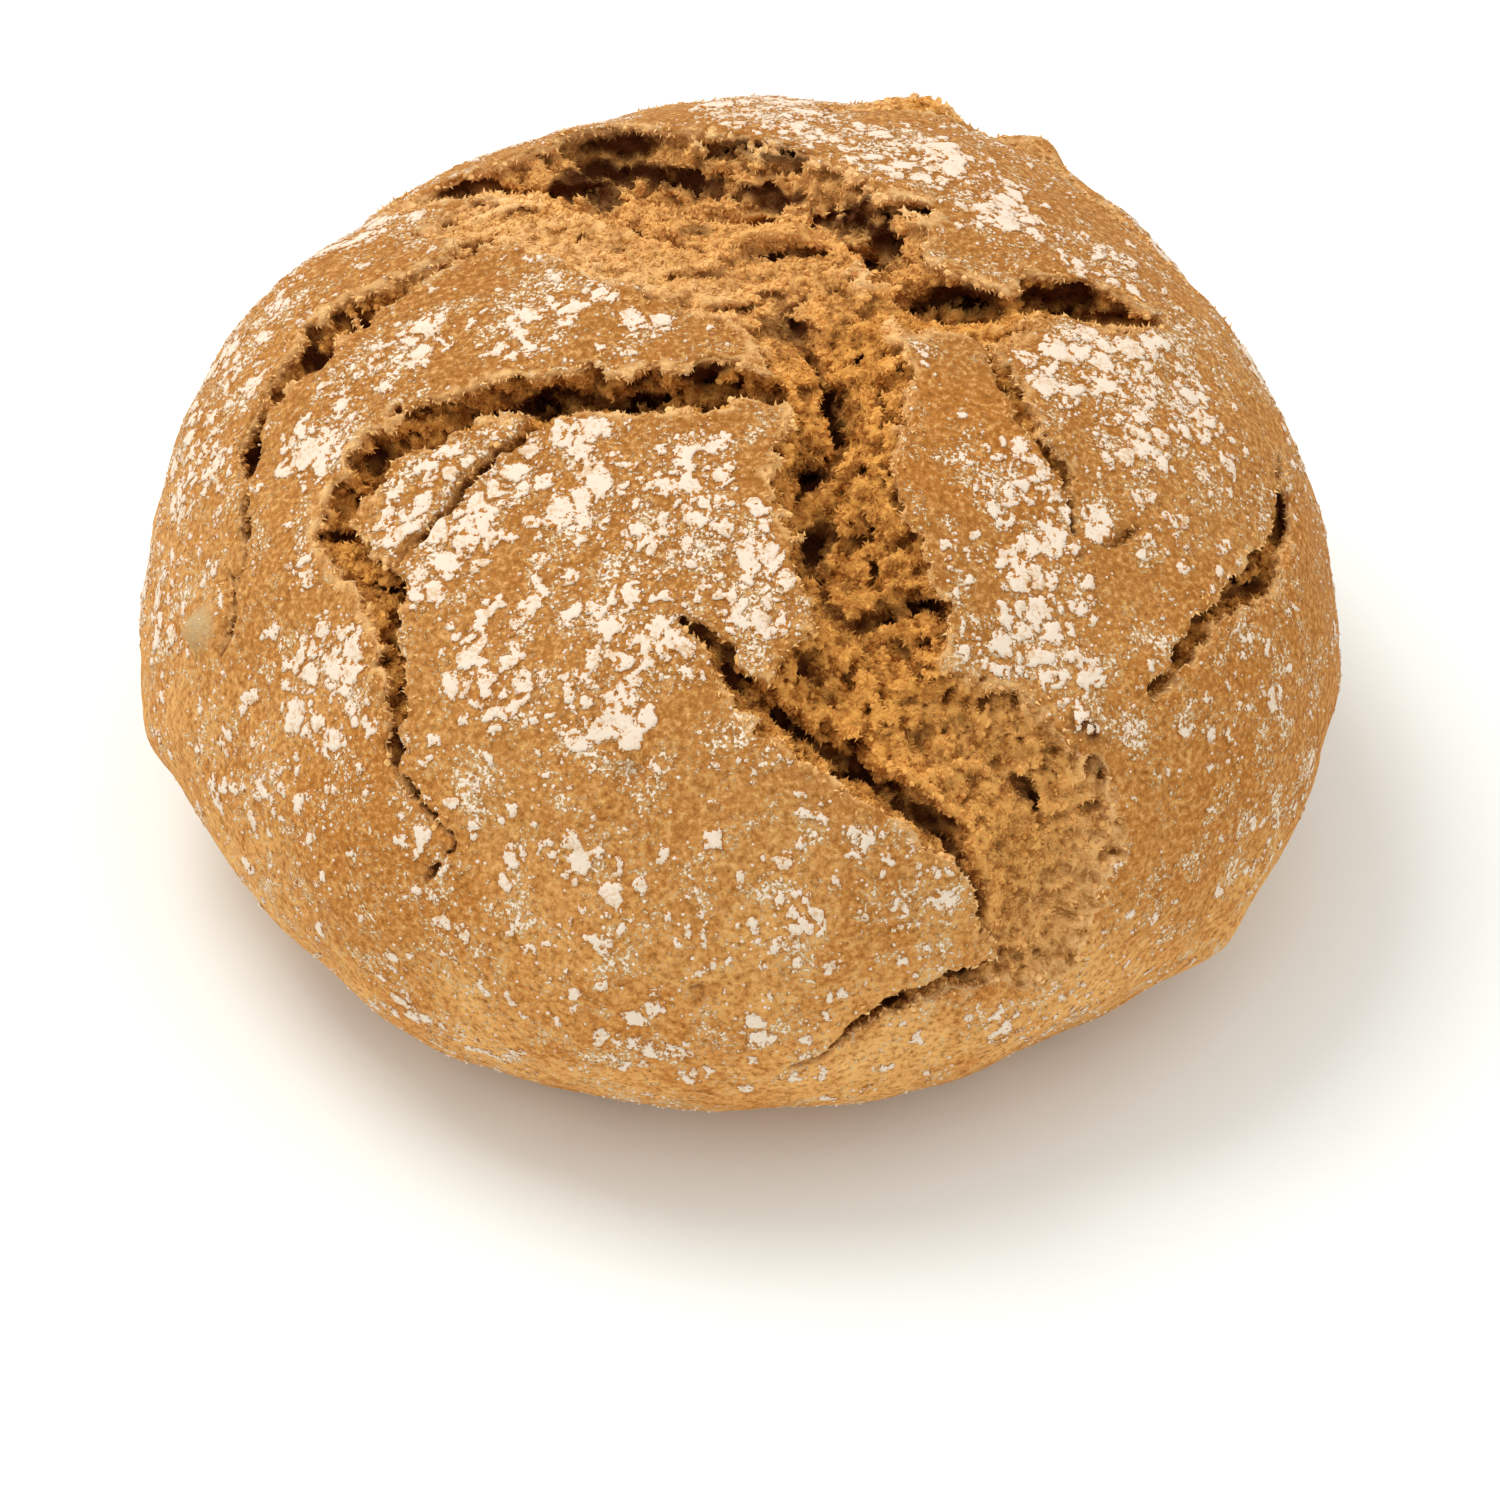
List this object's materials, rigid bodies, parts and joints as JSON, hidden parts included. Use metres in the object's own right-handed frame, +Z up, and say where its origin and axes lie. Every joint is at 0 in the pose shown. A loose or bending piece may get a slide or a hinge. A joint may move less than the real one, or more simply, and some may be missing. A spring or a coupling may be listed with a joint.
{
  "type": "bread roll",
  "caption": "Round rustic bread roll with a domed brown crust torn open into ragged cracks that show the crumb, dusted with flour and flat underneath.",
  "frame": {"origin": "middle of the flat underside, on the surface the roll rests on", "axes": "+Z up through the crown, -Y towards the front that the picture shows, +X to the right"},
  "size_m": [0.0992, 0.101, 0.0545],
  "materials": {
    "crust": "matte baked crust"
  },
  "bodies": {
    "root": {"bread_roll": "crust"}
  },
  "joints": []
}
